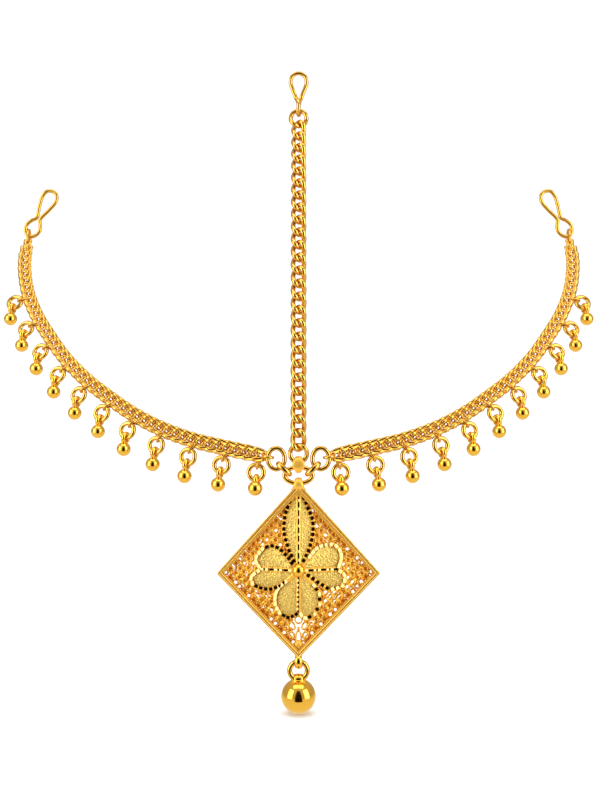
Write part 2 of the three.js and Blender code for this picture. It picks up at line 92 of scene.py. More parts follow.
PENDANT_WIDE, PENDANT_HIGH, RIM = 20.45, 21.3, 0.9
PENDANT_BASE, PENDANT_RISE, PETAL_RAISE = 0.7, 3.2, 0.8
FLOWER_UP = 1.0
TIP_CLEAR, BAIL_INNER = 0.45, 0.9
BALL_RING, BALL_RING_WIRE, BALL, BALL_HANG = 2.2, 1.08, 4.34, 4.15

# Wires as they look, rounder and a little thicker than the few-sided ones of the CAD part
LINK_LOOK, RING_LOOK, HOOK_LOOK, BALL_RING_LOOK = 1.3, 1.2, 1.15, 1.4


def unit(v):
    """Each vector at a length of one."""
    return v / np.linalg.norm(v, axis=-1, keepdims=True)


# Forms: each is a triple of corner points, four-sided faces and three-sided faces

def outward(form):
    """The form with its faces turned over if it holds a negative volume, so that they face outwards."""
    points, quads, tris = form
    both = np.vstack([quads[:, [0, 1, 2]], quads[:, [0, 2, 3]], tris])
    a, b, c = points[both[:, 0]], points[both[:, 1]], points[both[:, 2]]
    if np.einsum("ij,ij->", a, np.cross(b, c)) < 0:
        return points, quads[:, ::-1], tris[:, ::-1]
    return form


def numbered(points):
    """The corner numbers of a grid of points, row by row."""
    rows, columns = points.shape[:2]
    return np.arange(rows * columns).reshape(rows, columns)


def grid_quads(index):
    """The four-sided faces between the rows and columns of a grid of corner numbers."""
    return np.stack([index[:-1, :-1], index[1:, :-1], index[1:, 1:], index[:-1, 1:]], -1).reshape(-1, 4)


def ring_grid(points):
    """A closed tube from rows of points, closed along the rows and across them."""
    index = numbered(points)
    index = np.vstack([index, index[:1]])
    index = np.hstack([index, index[:, :1]])
    return outward((points.reshape(-1, 3), grid_quads(index), np.zeros((0, 3), int)))


def capped_grid(points, first_pole, last_pole):
    """A closed skin from rows of points, each row a closed loop, with a pole beyond the first and last row."""
    rows, columns = points.shape[:2]
    index = numbered(points)
    index = np.hstack([index, index[:, :1]])
    start = np.stack([np.full(columns, rows * columns), index[0, :-1], index[0, 1:]], -1)
    end = np.stack([np.full(columns, rows * columns + 1), index[-1, 1:], index[-1, :-1]], -1)
    corners = np.vstack([points.reshape(-1, 3), first_pole, last_pole])
    return outward((corners, grid_quads(index), np.vstack([start, end])))


def joined(forms):
    """One form holding all of the given ones."""
    counts = np.cumsum([0] + [len(form[0]) for form in forms])
    return (np.vstack([form[0] for form in forms]),
            np.vstack([form[1] + count for form, count in zip(forms, counts)]),
            np.vstack([form[2] + count for form, count in zip(forms, counts)]))


def moved(form, shift):
    """The form at another place."""
    return form[0] + shift, form[1], form[2]


def mirrored(form):
    """The form seen in a mirror across x, its faces turned over to keep facing outwards."""
    points, quads, tris = form
    return points * [-1, 1, 1], quads[:, ::-1], tris[:, ::-1]


def repeated(form, centres, axes, sizes=None):
    """The form once at each centre, its x, y and z laid along that copy's three axes."""
    points, quads, tris = form
    placed = np.einsum("ni,kij->knj", points, axes)
    if sizes is not None:
        placed = placed * sizes[:, None, None]
    shift = (np.arange(len(centres)) * len(points))[:, None, None]
    return outward(((placed + centres[:, None]).reshape(-1, 3), (quads + shift).reshape(-1, 4),
                    (tris + shift).reshape(-1, 3)))


def closed_wire(path, thick, facing, wide=None, around=12):
    """A wire along a closed path: at each point an ellipse lies across the path, its thickness towards the
    middle of the loop and its width along the direction that the loop faces."""
    wide = thick if wide is None else wide
    tangent = unit(np.roll(path, -1, 0) - np.roll(path, 1, 0))
    inward = unit(np.cross(facing, tangent))
    side = np.cross(inward, tangent)
    turn = np.arange(around) / around * FULL_TURN
    thick, wide = (np.broadcast_to(np.asarray(v, float), len(path))[:, None, None] for v in (thick, wide))
    points = (path[:, None] + inward[:, None] * np.cos(turn)[:, None] * thick / 2
              + side[:, None] * np.sin(turn)[:, None] * wide / 2)
    return ring_grid(points)


# Rounded wire ends: how wide each circle is, how far before the end it lies, and where the pole is
END_WIDTHS, END_LEADS, END_POLE = np.array([0.35, 0.75, 0.95]), np.array([0.46, 0.33, 0.15]), 0.04


def open_wire(path, thick, facing, around):
    """A round wire along an open path, its ends rounded by three circles that shrink towards a pole."""
    tangent = unit(np.gradient(path, axis=0))
    lead = END_LEADS * thick
    path = np.vstack([path[0] - tangent[0] * lead[:, None], path, path[-1] + tangent[-1] * lead[::-1, None]])
    share = np.concatenate([END_WIDTHS, np.ones(len(tangent)), END_WIDTHS[::-1]])[:, None, None]
    tangent = np.vstack([np.repeat(tangent[:1], 3, 0), tangent, np.repeat(tangent[-1:], 3, 0)])
    inward = unit(np.cross(facing, tangent))
    side = np.cross(inward, tangent)
    turn = np.arange(around) / around * FULL_TURN
    points = (path[:, None] + share * (inward[:, None] * np.cos(turn)[:, None] * thick / 2
                                       + side[:, None] * np.sin(turn)[:, None] * thick / 2))
    first_pole, last_pole = path[0] - tangent[0] * END_POLE * thick, path[-1] + tangent[-1] * END_POLE * thick
    return capped_grid(points, first_pole, last_pole)


def oval_path(centre, first, second, twist=MIDDLE, one_ended=False, steps=48):
    """An oval about the centre: first cos a + second sin a + twist sin 2a, the twist fading to one end."""
    a = (np.arange(steps) / steps * FULL_TURN)[:, None]
    fade = (1 + np.cos(a)) / 2 if one_ended else 1
    return centre + first * np.cos(a) + second * np.sin(a) + twist * np.sin(2 * a) * fade


def oval(centre, first, second, thick, wide=None, twist=MIDDLE, one_ended=False, steps=48, around=12):
    """A ring of wire along an oval path."""
    path = oval_path(centre, first, second, twist, one_ended, steps)
    return closed_wire(path, thick, unit(np.cross(first, second)), wide, around)


def lathe(radii, heights, around):
    """A turned body: circles of the given radii at the given heights, between a pole at each end."""
    turn = np.arange(around) / around * FULL_TURN
    circle = np.stack([np.cos(turn), np.sin(turn), np.zeros(around)], -1)
    points = circle[None] * radii[1:-1, None, None] + UP * heights[1:-1, None, None]
    return capped_grid(points, UP * heights[0], UP * heights[-1])


def ball_form(radius, rows, around):
    """A ball: circles at even angles from pole to pole."""
    angle = np.linspace(0, np.pi, rows + 1)
    return lathe(radius * np.sin(angle), -radius * np.cos(angle), around)


def smooth_path(points, closed, count):
    """A centripetal Catmull-Rom curve through the points, cut into even lengths."""
    p = np.asarray(points, float)
    if closed:
        p = np.vstack([p[-1:], p, p[:2]])
    else:
        p = np.vstack([2 * p[0] - p[1], p, 2 * p[-1] - p[-2]])
    gap = np.sqrt(np.linalg.norm(np.diff(p, axis=0), axis=1))[:, None]
    d0, d1, d2 = gap[:-2], gap[1:-1], gap[2:]
    a, b, c, d = p[:-3], p[1:-2], p[2:-1], p[3:]
    t1 = ((b - a) / d0 - (c - a) / (d0 + d1) + (c - b) / d1) * d1
    t2 = ((c - b) / d1 - (d - b) / (d1 + d2) + (d - c) / d2) * d1
    t = (np.arange(60) / 60)[:, None, None]
    curve = b + t1 * t + (-3 * b + 3 * c - 2 * t1 - t2) * t ** 2 + (2 * b - 2 * c + t1 + t2) * t ** 3
    curve = np.vstack([curve.transpose(1, 0, 2).reshape(-1, p.shape[1]), c[-1:]])
    run = np.concatenate([[0], np.cumsum(np.linalg.norm(np.diff(curve, axis=0), axis=1))])
    at = np.linspace(0, run[-1], count + 1)[:-1] if closed else np.linspace(0, run[-1], count)
    return np.stack([np.interp(at, run, column) for column in curve.T], -1)


# Materials

def coloured(name, colour, roughness):
    """A material of one colour, and its shader."""
    material = bpy.data.materials.new(name)
    material.use_nodes = True
    shader = material.node_tree.nodes["Principled BSDF"]
    shader.inputs["Base Color"].default_value = (*colour, 1)
    shader.inputs["Roughness"].default_value = roughness
    return material, shader


def gold(name, colour, roughness, metal=1.0, coat=0.0, bump=0.0, cells=0.0):
    """Gold of one colour. Punched gold has a bump, in millimetres, from cells of so many to the millimetre."""
    material, shader = coloured(name, colour, roughness)
    shader.inputs["Metallic"].default_value = metal
    shader.inputs["Coat Weight"].default_value = coat
    if bump:
        nodes, links = material.node_tree.nodes, material.node_tree.links
        place = nodes.new("ShaderNodeTexCoord")
        pattern = nodes.new("ShaderNodeTexVoronoi")
        pattern.inputs["Scale"].default_value = cells / MM
        lift = nodes.new("ShaderNodeBump")
        lift.inputs["Distance"].default_value = bump * MM
        lift.inputs["Strength"].default_value = 1
        links.new(place.outputs["Object"], pattern.inputs["Vector"])
        links.new(pattern.outputs["Distance"], lift.inputs["Height"])
        links.new(lift.outputs["Normal"], shader.inputs["Normal"])
    return material


polished = gold("polished", (1.0, 0.55, 0.06), 0.13, coat=0.3)
# Painted shade: the drawn wire is a darker copy of the polished gold, standing in for the shade among the
# tightly packed chain links. The rings and hooks share it.
drawn = gold("drawn_wire_painted_shade", (0.8, 0.43, 0.045), 0.16, coat=1.0)
filigree = gold("filigree", (1.0, 0.56, 0.08), 0.2, metal=0.85)
# Painted shade: the wires and plugs behind the net are the same gold as its rings, coloured a darker, deeper
# orange to stand in for the shade in the cells.
backing = gold("filigree_backing_painted_shade", (1.0, 0.42, 0.03), 0.4, metal=0.6)
edging = gold("edging", (0.9, 0.53, 0.08), 0.16, metal=0.85, coat=1.0)
stippled = gold("stippled", (0.82, 0.56, 0.13), 0.34, metal=0.75, bump=0.26, cells=2.2)
satin = gold("satin", (1.0, 0.56, 0.08), 0.4, metal=0.65)
facet = gold("cut_facet", (0.5, 0.32, 0.12), 0.1)


def piece(name, forms, body, material, nodes=(), smooth=True):
    """A mesh object made from forms, riding on a body and standing for the named CAD nodes."""
    points, quads, tris = joined(forms)
    mesh = bpy.data.meshes.new(name)
    mesh.vertices.add(len(points))
    mesh.vertices.foreach_set("co", (points * MM + ORIGIN).astype(np.float32).ravel())
    corners = np.concatenate([quads.ravel(), tris.ravel()])
    mesh.loops.add(len(corners))
    mesh.loops.foreach_set("vertex_index", corners.astype(np.int32))
    starts = np.concatenate([np.arange(len(quads)) * 4, len(quads) * 4 + np.arange(len(tris)) * 3])
    mesh.polygons.add(len(starts))
    mesh.polygons.foreach_set("loop_start", starts.astype(np.int32))
    mesh.polygons.foreach_set("use_smooth", np.full(len(starts), smooth))
    mesh.update(calc_edges=True)
    mesh.validate()
    mesh.materials.append(material)
    made = bpy.data.objects.new(name, mesh)
    bpy.context.scene.collection.objects.link(made)
    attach(made, body)
    if nodes:
        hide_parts(*nodes)


def pair(name, forms, material, number=""):
    """A right piece of the headpiece and its mirror image on the left, each standing for a CAD node."""
    for side, side_forms in (("right", forms), ("left", [mirrored(form) for form in forms])):
        piece(f"{name}{number}_{side}_look", side_forms, "headpiece", material, [f"{name}_{side}{number}"])


# Centre ring

piece("centre_ring_look", [oval(MIDDLE, RIGHT * RING_WIDE, UP * RING_HIGH, RING_LOOK, steps=64, around=16)],
      "headpiece", polished, ["centre_ring"])

# Joining band: a flat strip bent round the centre ring and the first end ring, widest above its middle

BAND_RISES, BAND_WIDTHS = [0, 0.3, 0.6, 1], [1.6, 3.1, 3.2, 1.9]
band_low = RING_HIGH - JUMP_WIRE / 2 - BAND_PLAY
end_ring_low = RING_HIGH + JUMP_WIRE + WIRE_GAP
band_top = end_ring_low + JUMP_WIRE / 2 + BAND_PLAY
band_deep = (JUMP_WIRE + BAND_WALL) / 2 + 2 * WIRE_GAP
band_path = oval_path(UP * (band_low + band_top) / 2, BACK * band_deep,
                      UP * (band_top - band_low + BAND_WALL) / 2, steps=64)
band_wide = np.interp((band_path[:, 2] - band_low) / (band_top - band_low), BAND_RISES, BAND_WIDTHS)
piece("bail_band_look", [closed_wire(band_path, BAND_WALL, RIGHT, band_wide, around=20)],
      "headpiece", satin, ["bail_band"])

# Centre chain: twisted curb links that lean back ever more towards the top, with a round ring at each end

LINK_SPREAD, LINK_TWIST, END_RING_TWIST = 1.04, 0.95, 0.75
link_half = (CHAIN_PITCH + LINK_WIRE * SEAT_SHARE) / 2
link_seat = (JUMP_WIRE + LINK_WIRE) / 2 * SEAT_SHARE
look_half, look_wide = (CHAIN_PITCH + LINK_LOOK * LINK_SPREAD) / 2, (CHAIN_WIDE - LINK_LOOK) / 2
end_ring_up = end_ring_low + END_RING
chain_run = (CHAIN_LINKS - 1) * CHAIN_PITCH
share = np.arange(CHAIN_LINKS) * CHAIN_PITCH / chain_run
slope = CHAIN_LEAN * LEAN_BEND * share ** (LEAN_BEND - 1) / chain_run
chain_tangent = unit(np.stack([0 * share, slope, 0 * share + 1], -1))
chain_up = end_ring_up + END_RING - link_seat + link_half + np.concatenate(
    [[0], np.cumsum(CHAIN_PITCH * chain_tangent[:-1, 2])])
chain_centre = np.stack([0 * share, CHAIN_LEAN * share ** LEAN_BEND, chain_up], -1)
top_ring = chain_centre[-1] + chain_tangent[-1] * (link_half - link_seat) + UP * END_RING


def end_ring(centre, towards):
    """A round ring twisted only on the side of the chain, which is above it at 1 and below it at -1."""
    return oval(centre, UP * END_RING * towards, RIGHT * END_RING, RING_LOOK, steps=56,
                twist=BACK * -END_RING_TWIST * towards, one_ended=True)


links = [oval(centre, tangent * look_half, RIGHT * look_wide, LINK_LOOK,
              twist=np.cross(RIGHT, tangent) * LINK_TWIST)
         for centre, tangent in zip(chain_centre, chain_tangent)]
piece("centre_chain_look", [*links, end_ring(UP * end_ring_up, 1), end_ring(top_ring, -1)],
      "headpiece", drawn, ["centre_chain"])

# Top hook


def hook_path(neck, eye_half, eye_length, turned):
    """The hook's closed outline: a teardrop loop narrowing to a neck above an eye, turned edge on if asked."""
    def eye(out, share):
        return (out * HOOK_NECK_HALF * (1 - share), out * eye_half * share) if turned else (
            out * eye_half * share, 0)

    def row(out):
        return [[out * HOOK_HALF * 0.75, 0, HOOK_TIP * 0.72], [out * HOOK_HALF, 0, 0],
                [out * HOOK_HALF * 0.72, 0, -neck * 0.45], [out * HOOK_NECK_HALF, 0, -neck],
                [*eye(out, 0.72), -neck - eye_length * 0.24], [*eye(out, 1), -neck - eye_length * 0.52],
                [*eye(out, 0.7), -neck - eye_length * 0.86]]
    return smooth_path([[0, 0, HOOK_TIP], *row(1), [0, 0, -neck - eye_length], *row(-1)[::-1]], True, 160)


TURN_LENGTH = 1.5
top_hook_bottom = top_ring[2] + END_RING - (JUMP_WIRE + HOOK_WIRE) / 2 - WIRE_GAP
top_path = hook_path(TOP_NECK, TOP_EYE_HALF, TOP_EYE, True)
ease = np.clip((-top_path[:, 2] - TOP_NECK) / TURN_LENGTH, 0, 1)
turn = ease ** 2 * (3 - 2 * ease) * np.pi / 2
top_facing = np.stack([-np.sin(turn), np.cos(turn), 0 * turn], -1)
top_path = top_path + [0, top_ring[1], top_hook_bottom + TOP_NECK + TOP_EYE]
piece("hook_top_look", [closed_wire(top_path, HOOK_LOOK, top_facing)], "headpiece", drawn, ["hook_top"])

# Side chain route and the frame that travels along it

route = smooth_path(ROUTE, False, 4000)
route_run = np.concatenate([[0], np.cumsum(np.linalg.norm(np.diff(route, axis=0), axis=1))])
route_tangent = unit(np.gradient(route, axis=0))


def along_route(at):
    """Centre, tangent, face and outward directions of the side chain at distances along it."""
    at = np.clip(at, 0, route_run[-1])
    centre = np.stack([np.interp(at, route_run, column) for column in route.T], -1)
    tangent = unit(np.stack([np.interp(at, route_run, column) for column in route_tangent.T], -1))
    face = unit(tangent * tangent[..., 1:2] - BACK)
    return centre, tangent, face, np.cross(tangent, face)


# Woven rows of the side chain: place across it, lean in degrees, half length, half width, wire, depth behind
# the front and shift in steps
LINK_STEP, ROW_CLEAR, ROW_TWIST = 2.45, 1.1, 0.34
ROWS = [(1.3, 13, 1.6, 0.26, 0.86, 0.0, 0.0), (-1.3, -13, 1.6, 0.26, 0.86, 0.0, 0.0),
        (0, 22, 1.0, 0.7, 0.72, 0.15, 0.5), (0, -25, 1.1, 0.5, 0.6, 0.8, 0.0)]
side_count = int(route_run[-1] / LINK_STEP)
step = route_run[-1] / side_count


def side_row(side, lean, half_long, half_wide, wire, depth, shift):
    """One row of twisted oval links along the side chain. The rows draw together at its two ends."""
    at = (np.arange(side_count) + 0.5) * step + shift * step
    at = at[(at > ROW_CLEAR) & (at < route_run[-1] - ROW_CLEAR)]
    centre, tangent, face, out = along_route(at)
    narrowed = np.minimum(0.75 + (at - 1) / 2, 0.35 + (route_run[-1] - at - 1) / 5)
    side = side * np.clip(narrowed, 0, 1)[:, None]
    c, s = np.cos(np.radians(lean)), np.sin(np.radians(lean))
    link = oval(MIDDLE, RIGHT * half_long, UP * half_wide, wire, twist=BACK * ROW_TWIST, steps=22, around=8)
    axes = np.stack([tangent * c + out * s, -face, out * c - tangent * s], 1)
    return repeated(link, centre + out * side - face * depth, axes)


# Small drops: a bead hangs down and leans a little outward, and the first one also swings forward
loop_radius = (JUMP_WIRE + LOOP_WIRE) / 2 + LINK_PLAY
loop_reach = loop_radius - SOLDER
inner, outer = (tuple(v[0] for v in along_route(np.array([at]))) for at in (0, route_run[-1]))
inner_loop = inner[0] - inner[1] * loop_reach
outer_loop = outer[0] + outer[1] * (loop_reach + HOOK_PLAY)
drop_centre, drop_tangent, drop_face, drop_out = along_route(FIRST_DROP + np.arange(DROPS) * DROP_PITCH)
ring_centre = drop_centre + drop_out * DROP_OUT
tilt = np.radians(BEAD_LEAN)
forward = np.radians(np.array([FIRST_BEAD_FORWARD] + [0.0] * (DROPS - 1)))[:, None]
hang = np.array([np.sin(tilt), 0, -np.cos(tilt)]) * np.cos(forward) - BACK * np.sin(forward)
ring_down = unit(hang - drop_face * (drop_face * hang).sum(-1, keepdims=True))
hang_side = unit(np.cross(ring_down, drop_face))
eye_deep = np.cross(hang, hang_side)
grip = ring_centre + ring_down * DROP_RING

# Eyelets: places along the chain, out from it and in front of it
EYELET_WIRE = 0.62
EYELET_SPOTS = [(-0.95, 0.8, 0.25), (-0.8, 1.5, 0.55), (-0.22, 2.4, 0.86), (0, 3.25, 0.45), (0, 3.5, 0),
                (0, 3.25, -0.45), (0.22, 2.4, -0.86), (0.8, 1.5, -0.55), (0.95, 0.8, -0.25)]


def eyelet(i):
    """A bent wire that holds a drop: it comes off the chain, passes round the ring and returns."""
    c, t, f, o = drop_centre[i], drop_tangent[i], drop_face[i], drop_out[i]
    path = smooth_path([c + t * along + o * out + f * front for along, out, front in EYELET_SPOTS], False, 26)
    return open_wire(path, EYELET_WIRE, t + 0.02 * o, 8)


pair("side_chain", [
    *[side_row(*row) for row in ROWS],
    oval(inner_loop, inner[1] * loop_radius, inner[2] * loop_radius, LOOP_WIRE),
    oval(outer_loop, outer[1] * (loop_radius + HOOK_PLAY), outer[2] * loop_radius, LOOP_WIRE),
    *[eyelet(i) for i in range(DROPS)]], drawn)

BEAD_EYE, BEAD_EYE_WIRE, BEAD_EYE_WIDE, EYE_SLACK = 1.22, 0.95, 1.2, 0.06
eye_form = oval(MIDDLE, RIGHT * BEAD_EYE, BACK * BEAD_EYE, BEAD_EYE_WIRE, BEAD_EYE_WIDE, steps=28, around=10)
bead_form = ball_form(BEAD, 16, 24)
ring_form = oval(MIDDLE, RIGHT * DROP_RING, UP * DROP_RING, RING_LOOK, steps=36)
ring_axes = np.stack([drop_out, -drop_face, drop_tangent], 1)
ball_axes = np.stack([hang_side, eye_deep, hang], 1)
eye_axes = np.stack([hang, eye_deep, np.cross(hang, eye_deep)], 1)
ball_centre = grip + hang * (BEAD_HANG - DROP_RING)
eye_centre = grip + hang * EYE_SLACK
for i in range(DROPS):
    one, number = slice(i, i + 1), f"_{i + 1:02d}"
    pair("ring", [repeated(ring_form, ring_centre[one], ring_axes[one])], drawn, number)
    pair("bead", [repeated(bead_form, ball_centre[one], ball_axes[one]),
                  repeated(eye_form, eye_centre[one], eye_axes[one])], polished, number)

# Outer rings and small links


def on_ring(centre, wide, high, angle):
    """The place on an upright oval ring at an angle in degrees, counted from its right side."""
    angle = np.radians(angle)
    return centre + RIGHT * np.cos(angle) * wide + UP * np.sin(angle) * high


SMALL_LINK_LOOK, SMALL_LINK_WIDE = 0.95, 1.35
outer_centre = inner_loop - on_ring(MIDDLE, OUTER_WIDE, OUTER_HIGH, OUTER_CHAIN_ANGLE)
pair("outer_ring", [oval(outer_centre, RIGHT * OUTER_WIDE, UP * OUTER_HIGH, RING_LOOK)], drawn)
outer_grip = on_ring(outer_centre, OUTER_WIDE, OUTER_HIGH, OUTER_LINK_ANGLE)
centre_grip = on_ring(MIDDLE, RING_WIDE, RING_HIGH, CENTRE_LINK_ANGLE)
span = outer_grip - centre_grip
deep = (JUMP_WIRE + SMALL_LINK_WIRE) / 2 + LINK_PLAY
pair("link", [oval(centre_grip + span / 2, unit(span) * (np.linalg.norm(span) / 2 + deep), BACK * deep,
                   SMALL_LINK_LOOK, SMALL_LINK_WIDE)], drawn)

# Side hooks

side_turn = np.radians(SIDE_TILT)
side_path = hook_path(SIDE_NECK, SIDE_EYE_HALF, SIDE_EYE, False)
turned = np.stack([side_path[:, 0] * np.cos(side_turn) - side_path[:, 2] * np.sin(side_turn), side_path[:, 1],
                   side_path[:, 0] * np.sin(side_turn) + side_path[:, 2] * np.cos(side_turn)], -1)
side_centre = outer_loop + np.array([-np.sin(side_turn), 0, np.cos(side_turn)]) * (SIDE_NECK + SIDE_EYE)
pair("hook", [closed_wire(turned + side_centre, HOOK_LOOK, BACK)], drawn)

# Pendant, drawn about the middle of its outline

pendant_top = -RING_HIGH - JUMP_WIRE / 2 - TIP_CLEAR
PENDANT = UP * (pendant_top - PENDANT_HIGH)
edge = np.hypot(PENDANT_WIDE, PENDANT_HIGH)
wall_share = RIM * edge / (PENDANT_WIDE * PENDANT_HIGH)
SHARE_PER_MM = wall_share / RIM
INNER = 1 - wall_share


def pendant_piece(name, forms, material, nodes=(), smooth=True):
    """A piece of the pendant, moved from its drawing place to below the centre ring."""
    piece(name, [moved(form, PENDANT) for form in forms], "pendant", material, nodes, smooth)


def on_net(x, z, lift=0.0):
    """Places in front of the low four-sided pyramid, which rises evenly from the rim to the middle."""
    base = INNER + wall_share / 2
    away = np.abs(x) / (PENDANT_WIDE * base) + np.abs(z) / (PENDANT_HIGH * base)
    return np.stack([x, PENDANT_BASE - PENDANT_RISE * (1 - away) - lift, z], -1)


CORNER_ROUNDING = 0.3


def rhombus_path(share_of, y, top):
    """A closed four-sided path at a share of the pendant's outline, its corners rounded and its top raised."""
    corners = np.array([[1, 0], [0, 1], [-1, 0], [0, -1.0]]) * [PENDANT_WIDE, PENDANT_HIGH] * share_of
    corners[1, 1] += top
    ahead = unit(np.roll(corners, -1, 0) - corners)
    behind = unit(np.roll(corners, 1, 0) - corners)
    t = np.linspace(0, 1, 7)[:, None, None]
    bend = ((1 - t) ** 2 * (corners + behind * CORNER_ROUNDING) + 2 * t * (1 - t) * corners
            + t ** 2 * (corners + ahead * CORNER_ROUNDING))
    flat = bend.transpose(1, 0, 2).reshape(-1, 2)
    return np.stack([flat[:, 0], np.full(len(flat), y), flat[:, 1]], -1)


def rim_wire(inset, y, top, thick, wide=None, around=10):
    """A wire round the rim, so many millimetres inside the outline."""
    return closed_wire(rhombus_path(1 - inset * SHARE_PER_MM, y, top), thick, BACK, wide, around)


pendant_piece("pendant_rim_look", [
    rim_wire(0.24, -1.05, 1.3, 0.5), rim_wire(0.8, -1.0, 0.9, 0.44), rim_wire(0.42, 0.2, 0.0, 0.5, 2.1, 14)],
    edging, ["pendant"])

# Flower: the outline of each lobe, in x and z from the flower's middle

LOBES = {
    "upper_left": [(-0.6, 0.1), (-3.35, 3.95), (-6.1, 5.8), (-8.5, 5.45), (-10.45, 2.4), (-9.4, 0.3),
                   (-5, 0.1)],
    "lower_left": [(-0.6, -0.1), (-5, -0.1), (-9.4, -0.05), (-11.5, -1.85), (-11.2, -4.0), (-7.9, -4.9),
                   (-4.85, -4.1), (-3.05, -2.75)],
    "upper_right": [(0.6, 0.1), (5, 0.1), (9.75, 0.3), (10.5, 3.6), (8.75, 6.0), (4.75, 5.5), (2.2, 2.9)],
    "lower_right": [(0.6, -0.1), (1.75, -0.75), (4.75, -3.0), (7.75, -5.0), (10.75, -4.0), (11.25, -1.5),
                    (9.75, -0.1), (5, -0.1)],
    "bottom_left": [(-0.1, -0.6), (-2.6, -2.6), (-4.5, -4.2), (-5.5, -6.2), (-5.5, -9.0), (-4.25, -11.25),
                    (-2.5, -12.0), (-1.0, -11.4), (-0.15, -10.6), (-0.1, -6)],
    "bottom_right": [(0.1, -0.6), (0.1, -6), (0.15, -10.6), (0.9, -11.8), (2.25, -12.25), (4.0, -11.0),
                     (5.2, -8.4), (4.85, -5.6), (3.25, -3.2)],
    "leaf_left": [(-0.1, 0.6), (-1.0, 2.0), (-1.75, 3.5), (-2.75, 6.0), (-3.55, 9.0), (-3.6, 11.5),
                  (-3.25, 13.75), (-2.5, 16.0), (-1.4, 18.2), (-0.1, 19.2), (-0.1, 10)],
    "leaf_right": [(0.1, 0.6), (0.1, 10), (0.1, 19.2), (1.1, 18.0), (2.0, 16.0), (3.1, 13.5), (3.65, 11.25),
                   (3.5, 8.5), (2.75, 5.5), (1.75, 3.2), (1.0, 1.8)],
}
lobe_paths = [smooth_path(points, True, 96) for points in LOBES.values()]

# Filigree: small wire rings in rows along the edges, a bead at each crossing and straight wires behind

CELLS = 17
CELL_RING, CELL_WIRE, CELL_DEEP, CELL_STRAY = 0.66, 0.58, 0.6, 0.12
PLUG, PLUG_SHARE, PLUG_BEHIND = 0.6, 0.62, 0.75
GRAIN, GRAIN_LIFT = 0.37, 0.12
BACK_WIRE, BACK_WIRE_BEHIND, BACK_WIRE_REACH = 0.5, 0.4, 0.97
# Half width, top and bottom of the window that each layer leaves below the flower for the motif
RINGS_WINDOW, GRAINS_WINDOW, WIRES_WINDOW = (2.2, -10.5, -17.5), (1.6, -11, -17), (2.5, -10.6, -17.9)
chance = np.random.default_rng(7)


def inside(path, x, z):
    """Whether each point lies inside a closed outline, by counting the sides that a ray crosses."""
    a, b = path, np.roll(path, -1, 0)
    x, z = x[:, None], z[:, None]
    crosses = (a[:, 1] > z) != (b[:, 1] > z)
    meets = a[:, 0] + (b[:, 0] - a[:, 0]) * (z - a[:, 1]) / (b[:, 1] - a[:, 1] + 1e-12)
    return (crosses & (x < meets)).sum(1) % 2 == 1


def in_window(x, z, window):
    """Whether each point lies in the motif's window."""
    half, top, bottom = window
    return (np.abs(x) < half) & (z < top) & (z > bottom)


def clear_of_flower(x, z, grow):
    """Whether each point lies outside all lobes, their outlines grown by a factor."""
    covered = np.zeros(len(x), bool)
    for path in lobe_paths:
        middle = path.mean(0)
        covered |= inside((path - middle) * grow + middle + [0, FLOWER_UP], x, z)
    return ~covered


def lattice(offset):
    """The middles of the slanted grid's cells, or with an offset of one the crossings between them."""
    i, j = (v.ravel() for v in np.meshgrid(np.arange(CELLS - offset), np.arange(CELLS - offset)))
    half = (CELLS - 1) / 2 - offset / 2
    return (i - j) * PENDANT_WIDE * INNER / CELLS, (i + j - 2 * half) * PENDANT_HIGH * INNER / CELLS


def net_axes(x, z):
    """Directions on the pyramid's face: along the edge, out of the face, and across."""
    slope_x = np.sign(x) * PENDANT_RISE / PENDANT_WIDE
    slope_z = np.sign(z) * PENDANT_RISE / PENDANT_HIGH
    normal = unit(np.stack([-slope_x, np.ones(len(x)), -slope_z], -1))
    along = np.stack([np.sign(x + 1e-9) * PENDANT_WIDE, 0 * x, -np.sign(z + 1e-9) * PENDANT_HIGH], -1)
    along = unit(along - normal * (along * normal).sum(-1, keepdims=True))
    return np.stack([along, normal, np.cross(along, normal)], 1)


def back_wires():
    """Straight wires along both directions of the edges, behind the rings, following the pyramid."""
    row = (np.arange(1, CELLS) / CELLS * 2 - 1) * INNER
    starts = np.concatenate([np.stack([(1 + row) / 2, (row - 1) / 2], -1),
                             np.stack([(1 + row) / 2, (1 - row) / 2], -1)])
    ends = np.concatenate([np.stack([(row - 1) / 2, (1 + row) / 2], -1),
                           np.stack([(row - 1) / 2, (-1 - row) / 2], -1)])
    made = []
    t = np.linspace(0, 1, 41)[:, None]
    for a, b in zip(starts, ends):
        spot = (a + (b - a) * t) * [PENDANT_WIDE * BACK_WIRE_REACH, PENDANT_HIGH * BACK_WIRE_REACH]
        open_here = in_window(spot[:, 0], spot[:, 1], WIRES_WINDOW)
        cuts = np.flatnonzero(np.diff(open_here.astype(int))) + 1
        for stretch in np.split(np.arange(len(spot)), cuts):
            if len(stretch) > 2 and not open_here[stretch[0]]:
                x, z = spot[stretch].T
                made.append(open_wire(on_net(x, z, -BACK_WIRE_BEHIND), BACK_WIRE, BACK, 6))
    return made


x, z = lattice(0)
keep = clear_of_flower(x, z, 0.86) & (np.abs(z) < PENDANT_HIGH * 0.86) & (np.abs(x) < PENDANT_WIDE * 0.9)
keep &= ~in_window(x, z, RINGS_WINDOW)
x, z = x[keep], z[keep]
stray = chance.normal(0, CELL_STRAY, (2, len(x)))
x, z = x + stray[0], z + stray[1]
cell_ring = oval(MIDDLE, RIGHT * CELL_RING, UP * CELL_RING, CELL_WIRE, CELL_DEEP, steps=14, around=7)
cell_rings = repeated(cell_ring, on_net(x, z), net_axes(x, z), chance.uniform(0.84, 1.12, len(x)))
plugged = chance.random(len(x)) < PLUG_SHARE
x, z = x[plugged], z[plugged]
plugs = repeated(ball_form(PLUG, 6, 10), on_net(x, z, -PLUG_BEHIND), net_axes(x, z))

